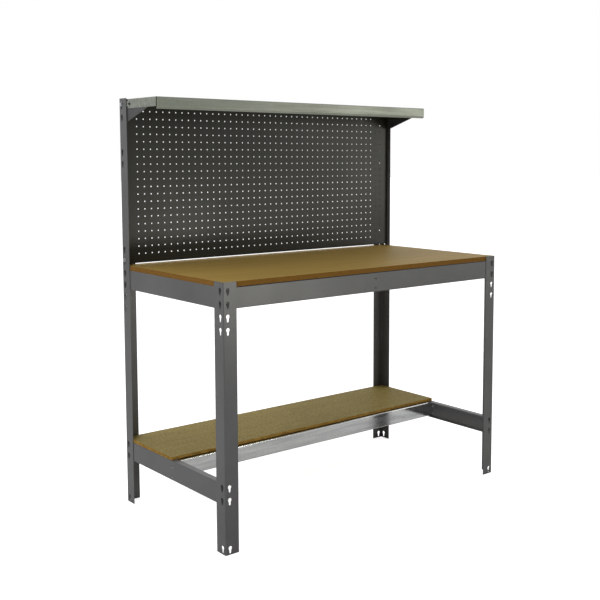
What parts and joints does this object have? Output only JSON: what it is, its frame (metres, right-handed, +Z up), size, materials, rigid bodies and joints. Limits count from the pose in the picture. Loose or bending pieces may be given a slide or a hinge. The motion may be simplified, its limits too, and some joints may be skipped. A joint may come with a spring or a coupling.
{
  "type": "workbench",
  "caption": "Steel workbench of keyhole angle uprights and hook-in beams, with a wood worktop, half-depth lower shelf, perforated back panel and upper tray shelf.",
  "frame": {"origin": "on the floor, under the middle of the bench", "axes": "+X to the right seen from the front, +Y from the front to the back panel, +Z up"},
  "size_m": [1.2204, 0.6248, 1.395],
  "materials": {
    "frame_paint": "satin grey powder coat",
    "stud_steel": "satin dark grey",
    "galvanised": "galvanised sheet, semi-matt",
    "worktop_fibreboard": "plain tan fibreboard, matt",
    "shelf_fibreboard": "plain olive-tan fibreboard, matt",
    "panel_paint": "satin dark grey powder coat",
    "bracket_paint": "satin grey powder coat",
    "zinc": "bright zinc plate",
    "black_screw": "black oxide"
  },
  "bodies": {
    "root": {"front_left_upright": "frame_paint", "front_right_upright": "frame_paint", "rear_left_upright": "frame_paint", "rear_right_upright": "frame_paint", "worktop_front_beam": "frame_paint", "worktop_rear_beam": "frame_paint", "worktop_left_beam": "frame_paint", "worktop_right_beam": "frame_paint", "shelf_rear_beam": "frame_paint", "shelf_left_beam": "frame_paint", "shelf_right_beam": "frame_paint", "worktop_beam_studs": "stud_steel", "shelf_beam_studs": "stud_steel", "bracket_studs": "stud_steel", "worktop_cross_bar": "galvanised", "shelf_cross_bar": "galvanised", "upper_shelf": "galvanised", "worktop_board": "worktop_fibreboard", "shelf_board": "shelf_fibreboard", "pegboard_panel": "panel_paint", "left_shelf_bracket": "bracket_paint", "right_shelf_bracket": "bracket_paint", "upright_bolts": "zinc", "upright_nuts": "zinc", "upper_shelf_screws": "black_screw", "upper_shelf_nuts": "black_screw"}
  },
  "joints": []
}
